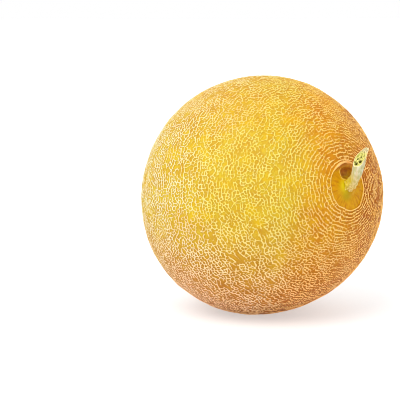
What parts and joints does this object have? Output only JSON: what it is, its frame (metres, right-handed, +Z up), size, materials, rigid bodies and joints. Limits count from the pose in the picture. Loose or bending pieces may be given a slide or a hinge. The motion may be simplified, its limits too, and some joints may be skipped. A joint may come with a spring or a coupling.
{
  "type": "netted cantaloupe melon",
  "caption": "Whole ripe netted melon with a dense net of raised cork over a yellow-orange rind and a curved, slant-cut stem stub, resting on its side on a small flat spot.",
  "frame": {"origin": "bottom centre of the whole object's box, on the surface the melon rests on", "axes": "+Z up, out of the resting spot; +X towards the stem end, along the length of the fruit, whose stem-to-blossom axis rises 10 degrees towards +X"},
  "size_m": [0.1632, 0.1478, 0.1469],
  "materials": {
    "rind": "satin",
    "stem_cork": "matte"
  },
  "bodies": {
    "root": {"fruit": "rind", "stem": "stem_cork"}
  },
  "joints": []
}
